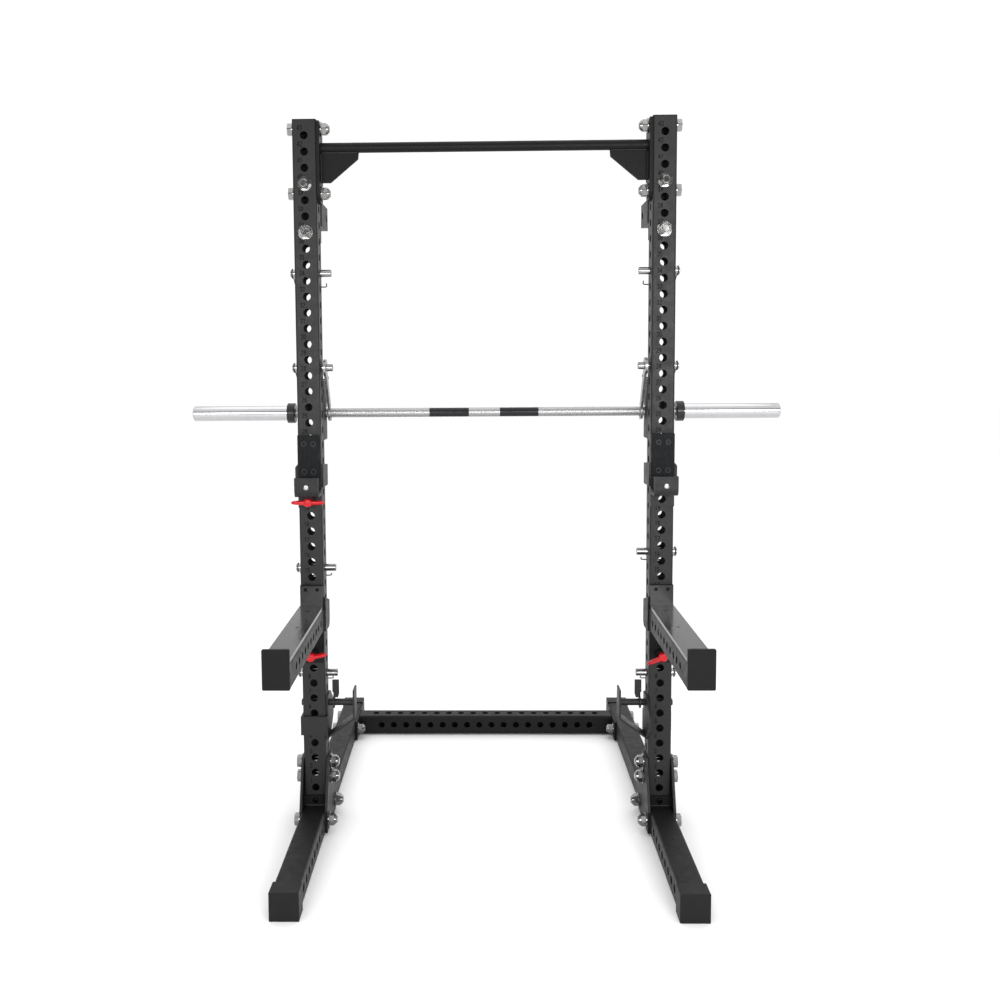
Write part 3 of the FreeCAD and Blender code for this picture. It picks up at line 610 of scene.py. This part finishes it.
@dataclass
class WeldBeads:
    """Stacked-ripple weld beads where the rack's plates and tubes are joined.

    Args:
        radius: half the bead's width.
        ripple: spacing of the ripples along the bead.
        points: points round the bead.
        swell: share by which a ripple stands out.
        end_taper: width of the bead's ends as a share of its middle.
        plate_y: the welded face of the front and rear plates, from the upright's centre line.
        tab_y: the two faces of the pull-up bar's gusset, likewise.
        flange_x: welded end of the rear cross-member, from the middle.
        flange_y: front and back of the cross-member.
        flange_z: foot and top of its beads.
    """

    radius: float = 0.0032
    ripple: float = 0.0035
    points: int = 8
    swell: float = 0.16
    end_taper: float = 0.55
    plate_y: float = 0.0455
    tab_y: float = 0.004
    flange_x: float = 0.517
    flange_y: SPAN = (0.811 + UPRIGHT_Y, 0.886 + UPRIGHT_Y)
    flange_z: SPAN = (0.0065, 0.0785)

    def bead(self, shape: bmesh.types.BMesh, path: list[Vector]) -> None:
        """Lays one bead along a path of straight runs.

        Args:
            shape: the mesh that gets the bead.
            path: its corner points.
        """
        for start, end in zip(path, path[1:]):
            run = end - start
            steps = max(3, int(run.length / self.ripple) * 3)
            turned = run.to_track_quat("Z", "Y")
            rings = []
            for step in range(steps + 1):
                share = step / steps
                width = 1.0 + self.swell * math.cos(2 * math.pi * share * run.length / self.ripple)
                if step in (0, steps):
                    width *= self.end_taper
                centre = start + run * share
                rings.append([centre + turned @ Vector((math.cos(a), math.sin(a), 0.0)) * self.radius * width
                              for a in full_turn(self.points)])
            ring_loft(shape, rings)

    def build(self, shop: Workshop) -> None:
        """Lays the beads of both sides and of the cross-member."""
        for side in Side:
            shape = bmesh.new()
            for path in self.side_paths():
                self.bead(shape, [self.placed(point, side) for point in path])
            shop.add("weld_beads_" + side.word, shape, "bracket_paint", "frame")
        shape = bmesh.new()
        front, back = self.flange_y
        foot, top = self.flange_z
        for side in Side:
            around = ((front, foot), (front, top), (back, top), (back, foot))
            self.bead(shape, [Vector((side.value * self.flange_x, y, z)) for y, z in around])
        shop.add("weld_beads_cross_member", shape, "base_paint", "frame")

    @staticmethod
    def placed(point: XYZ, side: Side) -> Vector:
        """Point given about an upright's centre line, inwards first, moved to that upright."""
        return Vector((side.value * (UPRIGHT_X - point[0]), UPRIGHT_Y + point[1], point[2]))

    def side_paths(self) -> list[list[XYZ]]:
        """Corner points of each bead of one side, about the upright's centre line.

        Returns:
            One list of points per bead: the arm's two sides and its foot, the leg's tab, the two sides of
            the top rear box, and both faces of the pull-up bar's gusset.
        """
        front, rear = -self.plate_y, self.plate_y
        paths = [
            [(HALF_TUBE, front, 0.666), (HALF_TUBE, front, 0.735)],
            [(-HALF_TUBE, front, 0.666), (-HALF_TUBE, front, 0.735)],
            [(-0.033, front, 0.663), (0.033, front, 0.663)],
            [(-0.034, front, 0.080), (0.034, front, 0.080)],
            [(HALF_TUBE, rear, 1.966), (HALF_TUBE, rear, 2.042)],
            [(-HALF_TUBE, rear, 1.966), (-HALF_TUBE, rear, 2.042)],
        ]
        for y in (-self.tab_y, self.tab_y):
            paths.append([(0.0475, y, 2.098), (0.0475, y, 2.186)])
            paths.append([(0.050, y, 2.1885), (0.164, y, 2.1885)])
        return paths


@dataclass
class HoleNumbers:
    """Small hole numbers beside the front holes of an upright.

    Args:
        count: how many holes are numbered.
        offset_x: label centre from the hole centre along X.
        offset_z: label centre above the hole centre.
        height: height of a digit.
        stroke: width of a stroke.
        advance: step to the next digit, as a share of the height.
        proud: how far the digits stand off the tube's face.
        strokes: each digit's lines, in shares of the height from its lower left corner.
    """

    count: int = 43
    offset_x: float = -0.0135
    offset_z: float = 0.0232
    height: float = 0.0142
    stroke: float = 0.0018
    advance: float = 0.62
    proud: float = 0.00012
    strokes: dict[str, list[list[SPAN]]] = field(default_factory=lambda: {
        "0": [[(0.1, 0.2), (0.1, 0.8), (0.3, 1), (0.5, 0.8), (0.5, 0.2), (0.3, 0), (0.1, 0.2)]],
        "1": [[(0.15, 0.8), (0.32, 1), (0.32, 0)]],
        "2": [[(0.1, 0.8), (0.3, 1), (0.5, 0.8), (0.48, 0.6), (0.1, 0), (0.52, 0)]],
        "3": [[(0.1, 0.85), (0.3, 1), (0.5, 0.82), (0.3, 0.54), (0.52, 0.25), (0.3, 0), (0.08, 0.15)]],
        "4": [[(0.42, 0), (0.42, 1), (0.06, 0.3), (0.55, 0.3)]],
        "5": [[(0.5, 1), (0.14, 1), (0.1, 0.58), (0.34, 0.64), (0.52, 0.34), (0.3, 0), (0.08, 0.12)]],
        "6": [[(0.46, 0.95), (0.2, 0.75), (0.1, 0.3), (0.3, 0), (0.52, 0.28), (0.3, 0.55), (0.12, 0.36)]],
        "7": [[(0.08, 1), (0.52, 1), (0.22, 0)]],
        "8": [[(0.3, 0.54), (0.12, 0.78), (0.3, 1), (0.48, 0.78), (0.3, 0.54), (0.08, 0.26), (0.3, 0),
               (0.52, 0.26), (0.3, 0.54)]],
        "9": [[(0.48, 0.64), (0.3, 0.45), (0.1, 0.72), (0.3, 1), (0.5, 0.7), (0.4, 0.25), (0.16, 0.03)]],
    })

    def ink(self) -> bpy.types.Material:
        """Dark etched mark, a little uneven."""
        w = Wiring("number_ink")
        w.tint(w.noise(300.0, 3.0), (0.0015, 0.0015, 0.0015), (0.004, 0.004, 0.004))
        w.set(Roughness=0.8, Specular_IOR_Level=0.15)
        return w.material

    def digit(self, shape: bmesh.types.BMesh, character: str, left: float, bottom: float, y: float) -> None:
        """Draws one digit as flat strokes that stand just proud of the tube.

        Args:
            shape: the mesh that gets the strokes.
            character: the digit.
            left: X of its left edge.
            bottom: Z of its foot.
            y: Y of its face.
        """
        half = self.stroke / 2
        for line in self.strokes[character]:
            points = [Vector((left + x * self.height, y, bottom + z * self.height)) for x, z in line]
            for start, end in zip(points, points[1:]):
                along = (end - start).normalized() * half * 0.8
                across = Vector((-along.z, 0.0, along.x)).normalized() * half
                corners = (start - along - across, end + along - across,
                           end + along + across, start - along + across)
                shape.faces.new([shape.verts.new(corner) for corner in corners])

    def build(self, shop: Workshop) -> None:
        """Marks both uprights."""
        ink = self.ink()
        for side in Side:
            shape = bmesh.new()
            for number in range(1, self.count + 1):
                text = str(number)
                advance = self.height * self.advance
                left = side.value * UPRIGHT_X + self.offset_x - advance * len(text) / 2
                bottom = front_hole(number) + self.offset_z - self.height / 2
                for place, character in enumerate(text):
                    self.digit(shape, character, left + place * advance, bottom, FRONT_FACE_Y - self.proud)
            shop.add("hole_numbers_" + side.word, shape, ink.name, "frame", smooth=False)


@dataclass
class PullHandle:
    """Dipped red grip: a long flattened bar with a domed boss over the pin.

    Args:
        side: which upright it is on.
        node: the CAD node that it stands for.
        body: the CAD body that it rides on.
        tilt: turn about the pin, in degrees, right end up.
        z: height of the pin.
        half_length: middle to end of the grip.
        thickness: half of its depth at the middle.
        end_height: half of its height at the ends.
        middle_height: half of its height at the middle.
        boss: radius of the boss.
        y: Y of the grip's middle.
        stations: rings along the grip.
        corners: points round it.
    """

    side: Side
    node: str
    body: str
    tilt: float
    z: float
    half_length: float = 0.0535
    thickness: float = 0.0098
    end_height: float = 0.0066
    middle_height: float = 0.0080
    boss: float = 0.0136
    y: float = UPRIGHT_Y - 0.088
    stations: int = 40
    corners: int = 20

    def build(self, shop: Workshop) -> None:
        """Lofts the grip, adds the boss and hides the plain CAD grip."""
        shape = bmesh.new()
        ring_loft(shape, [self.section(-math.cos(math.pi * step / self.stations))
                          for step in range(self.stations + 1)])
        self.add_boss(shape)
        turn = Matrix.Rotation(math.radians(-self.tilt), 4, "Y")
        place = Matrix.Translation(Vector((self.side.value * UPRIGHT_X, self.y, self.z)))
        bmesh.ops.transform(shape, matrix=place @ turn, verts=shape.verts)
        grip = shop.add("grip_" + self.node, shape, "handle_red", self.body)
        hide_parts(self.node)

    def section(self, share: float) -> list[Vector]:
        """Rounded section of the grip, full at the middle and drawn in at the ends.

        Args:
            share: place along the grip, from -1 at one end to 1 at the other.

        Returns:
            The section's points.
        """
        cap = math.sqrt(max(0.0, 1.0 - share ** 8)) * 0.98 + 0.02
        middle = math.exp(-(share / 0.42) ** 2)
        high = (self.end_height + (self.middle_height - self.end_height) * middle) * cap
        deep = self.thickness * (0.86 + 0.14 * middle) * cap
        ring = []
        for angle in full_turn(self.corners):
            across, up = math.cos(angle), math.sin(angle)
            ring.append(Vector((share * self.half_length,
                                math.copysign(abs(across) ** 0.75, across) * deep,
                                math.copysign(abs(up) ** 0.75, up) * high)))
        return ring

    def add_boss(self, shape: bmesh.types.BMesh) -> None:
        """Adds the domed boss, a turned form about the pin's axis.

        Args:
            shape: the mesh that gets the boss.
        """
        profile = [(0.50, -0.0104), (0.78, -0.0098), (0.94, -0.0082), (1.0, -0.0055), (1.0, 0.0090),
                   (0.93, 0.0116)]
        points = 28
        rings = []
        for share, y in profile:
            radius = self.boss * share
            rings.append([Vector((math.cos(a) * radius, y, math.sin(a) * radius)) for a in full_turn(points)])
        ring_loft(shape, rings)


@dataclass
class PadRims:
    """Countersink rims round the screws of the tall cup pads, pale grey as a painted highlight on their
    edges.

    Args:
        across: X of the screws from the upright's centre line.
        heights: Z of the screws.
        radius: middle radius of a rim.
        width: width of a rim.
        sunk: how deep its edges sit in the pad.
        proud: how far its crown stands off the pad.
        face_y: Y of the pad's face.
        points: points round a rim.
    """

    across: SPAN = (-0.015, 0.015)
    heights: SPAN = (1.182, 1.271)
    radius: float = 0.0074
    width: float = 0.0013
    sunk: float = 0.0003
    proud: float = 0.0004
    face_y: float = FRONT_FACE_Y - 0.020
    points: int = 36

    def build(self, shop: Workshop) -> None:
        """Builds the rims of both cups."""
        # The rims' pale grey is a painted highlight where the countersink edges catch the light.
        finish = MouldedPlastic(colour=(0.085, 0.088, 0.092), roughness=0.4, relief=0.00004)
        rim_highlight = finish.material("rim_painted_highlight")
        for side in Side:
            shape = bmesh.new()
            for x in self.across:
                for z in self.heights:
                    self.rim(shape, Vector((side.value * (UPRIGHT_X + x), self.face_y, z)))
            shop.add("pad_rims_" + side.word, shape, rim_highlight.name, "frame")

    def rim(self, shape: bmesh.types.BMesh, centre: Vector) -> None:
        """Turns one low rim.

        Args:
            shape: the mesh that gets the rim.
            centre: its middle, on the pad's face.
        """
        half = self.width / 2
        profile = [(self.radius - half, self.sunk), (self.radius - half * 0.5, -self.proud),
                   (self.radius + half * 0.5, -self.proud), (self.radius + half, self.sunk)]
        rings = []
        for angle in full_turn(self.points):
            across, up = math.cos(angle), math.sin(angle)
            rings.append([centre + Vector((across * radius, y, up * radius)) for radius, y in profile])
        ring_loft(shape, rings, closed=True)


@dataclass
class SleeveRings:
    """Turned retaining ring on the end of each bar sleeve.

    Args:
        end_x: X of the sleeve's end.
        axis_y: Y of the bar's axis.
        axis_z: Z of the bar's axis.
        points: points round a ring.
        profile: the ring's section, as (radius, X beyond the sleeve's end).
    """

    end_x: float = 0.963
    axis_y: float = BAR_Y
    axis_z: float = BAR_Z
    points: int = 48
    profile: tuple[SPAN, ...] = ((0.0185, 0.0004), (0.0200, 0.0012), (0.0215, 0.0012),
                                 (0.0228, 0.0002), (0.0228, -0.001), (0.0185, -0.001))

    def build(self, shop: Workshop) -> None:
        """Builds both sleeves' rings."""
        for side in Side:
            shape = bmesh.new()
            rings = []
            for angle in full_turn(self.points):
                across, up = math.cos(angle), math.sin(angle)
                rings.append([Vector((side.value * (self.end_x + x), self.axis_y + across * radius,
                                      self.axis_z + up * radius)) for radius, x in self.profile])
            ring_loft(shape, rings, closed=True)
            shop.add("sleeve_end_ring_" + side.word, shape, "sleeve_chrome", "bar_sleeve_" + side.word)


@dataclass(frozen=True)
class SoftBox:
    """Rectangular soft light.

    Args:
        name: the light's name.
        at: its position.
        aim: the point that it faces.
        size: width and height.
        power: watts.
    """

    name: str
    at: XYZ
    aim: XYZ
    size: SPAN
    power: float

    def build(self) -> None:
        """Hangs the light."""
        data = bpy.data.lights.new(self.name, "AREA")
        data.shape = "RECTANGLE"
        data.size, data.size_y = self.size
        data.energy = self.power
        light = bpy.data.objects.new(self.name, data)
        light.location = self.at
        light.rotation_euler = (Vector(self.aim) - Vector(self.at)).to_track_quat("-Z", "Y").to_euler()
        bpy.context.scene.collection.objects.link(light)


@dataclass
class Studio:
    """White studio: a wide floor, soft boxes and the camera.

    Args:
        camera_at: camera position.
        yaw: turn of the camera to the right, in radians.
        tilt: how far the camera looks down, in radians.
        roll: camera roll, in radians.
        lens: focal length on a 36 mm sensor.
        shift: lens shift along the image's two sides.
        room_tone: brightness of the room behind the camera.
        wall_tone: brightness of the wall behind the rack.
        ceiling_tone: brightness of the ceiling.
        wall_fade: Y of the viewing direction where the room turns into the wall.
        ceiling_fade: Z of the viewing direction where the walls turn into the ceiling.
        floor_reach: half the floor's side.
        floor_cells: cells along it.
        floor_tones: darkest and lightest grey of the floor.
        soft_boxes: the lights, two in front of the rack and one above it.
    """

    camera_at: XYZ = (-0.0208, -3.5501, 1.5415)
    yaw: float = -0.0212
    tilt: float = 0.0826
    roll: float = -0.0069
    lens: float = 37.65
    shift: SPAN = (0.0433, -0.0558)
    room_tone: float = 0.20
    wall_tone: float = 1.05
    ceiling_tone: float = 1.22
    wall_fade: SPAN = (-0.25, 0.40)
    ceiling_fade: SPAN = (0.25, 0.70)
    floor_reach: float = 30.0
    floor_cells: int = 6
    floor_tones: SPAN = (0.92, 0.94)
    soft_boxes: tuple[SoftBox, ...] = (
        SoftBox("key_light", (-1.4, -4.6, 1.7), (-0.5, -0.2, 1.6), (1.7, 1.1), 58.0),
        SoftBox("fill_light", (1.4, -4.6, 1.7), (0.5, -0.2, 1.6), (1.7, 1.1), 100.0),
        SoftBox("top_light", (0.0, 0.6, 5.2), (0.0, 0.6, 0.0), (4.0, 4.0), 40.0),
    )

    def camera(self) -> None:
        """Puts the camera in place."""
        data = bpy.data.cameras.new("camera")
        data.lens = self.lens
        data.shift_x, data.shift_y = self.shift
        data.clip_end = 100.0
        level = math.cos(self.tilt)
        ahead = Vector((math.sin(self.yaw) * level, math.cos(self.yaw) * level, -math.sin(self.tilt)))
        right = Vector((math.cos(self.yaw), -math.sin(self.yaw), 0.0))
        up = right.cross(ahead)
        rolled_right = right * math.cos(self.roll) + up * math.sin(self.roll)
        rolled_up = up * math.cos(self.roll) - right * math.sin(self.roll)
        turn = Matrix((rolled_right, rolled_up, -ahead)).transposed().to_4x4()
        camera = bpy.data.objects.new("camera", data)
        camera.matrix_world = Matrix.Translation(Vector(self.camera_at)) @ turn
        bpy.context.scene.collection.objects.link(camera)
        bpy.context.scene.camera = camera

    def surroundings(self) -> None:
        """White wall behind the rack, a white ceiling and a greyer room behind the camera."""
        world = bpy.data.worlds.new("studio")
        world.use_nodes = True
        tree = world.node_tree
        coordinates = tree.nodes.new("ShaderNodeTexCoord")
        split = tree.nodes.new("ShaderNodeSeparateXYZ")
        tree.links.new(coordinates.outputs["Generated"], split.inputs[0])
        side = self.fade(tree, split.outputs["Y"], self.wall_fade, self.room_tone, self.wall_tone)
        tone = self.fade(tree, split.outputs["Z"], self.ceiling_fade, side, self.ceiling_tone)
        background = tree.nodes["Background"]
        background.inputs["Color"].default_value = (1.0, 1.0, 1.0, 1.0)
        tree.links.new(tone, background.inputs["Strength"])
        bpy.context.scene.world = world

    @staticmethod
    def fade(tree: bpy.types.NodeTree, source: bpy.types.NodeSocket, reach: SPAN,
             low: object, high: float) -> bpy.types.NodeSocket:
        """Eases from one tone to another.

        Args:
            tree: the node tree.
            source: the value that drives the change.
            reach: the source's values where the change starts and ends.
            low: the tone before it, a number or a socket.
            high: the tone after it.

        Returns:
            The tone's socket.
        """
        made = tree.nodes.new("ShaderNodeMapRange")
        made.interpolation_type = "SMOOTHSTEP"
        made.inputs["From Min"].default_value, made.inputs["From Max"].default_value = reach
        made.inputs["To Max"].default_value = high
        if isinstance(low, float):
            made.inputs["To Min"].default_value = low
        else:
            tree.links.new(low, made.inputs["To Min"])
        tree.links.new(source, made.inputs["Value"])
        return made.outputs["Result"]

    def floor(self) -> None:
        """Lays a wide pale floor."""
        shape = bmesh.new()
        bmesh.ops.create_grid(shape, x_segments=self.floor_cells, y_segments=self.floor_cells,
                              size=self.floor_reach)
        mesh = bpy.data.meshes.new("floor")
        shape.to_mesh(mesh)
        shape.free()
        w = Wiring("floor")
        dark, light = self.floor_tones
        w.tint(w.noise(1.5, 3.0), (dark, dark, dark), (light, light, light))
        w.set(Roughness=0.75)
        mesh.materials.append(w.material)
        plane = bpy.data.objects.new("floor", mesh)
        bpy.context.scene.collection.objects.link(plane)

    def build(self) -> None:
        """Sets up the whole studio."""
        bpy.context.scene.view_settings.view_transform = "Standard"
        self.surroundings()
        self.floor()
        for box in self.soft_boxes:
            box.build()
        self.camera()


def main() -> None:
    """Builds the rack's looks and the studio."""
    logging.basicConfig(level=logging.INFO, format="%(name)s: %(message)s")
    shop = Workshop()
    shop.dress_nodes()
    HoleNumbers().build(shop)
    WeldBeads().build(shop)
    cup_pin_z, arm_pin_z = front_hole(CUP_PIN_HOLE), front_hole(ARM_PIN_HOLE)
    PullHandle(Side.LEFT, "cup_pull_handle", "cup_pull", 0.0, cup_pin_z).build(shop)
    PullHandle(Side.LEFT, "arm_pull_handle_left", "arm_pull_left", 11.0, arm_pin_z).build(shop)
    PullHandle(Side.RIGHT, "arm_pull_handle_right", "arm_pull_right", 24.0, arm_pin_z).build(shop)
    PadRims().build(shop)
    SleeveRings().build(shop)
    Studio().build()


if __name__ == "__main__":
    main()
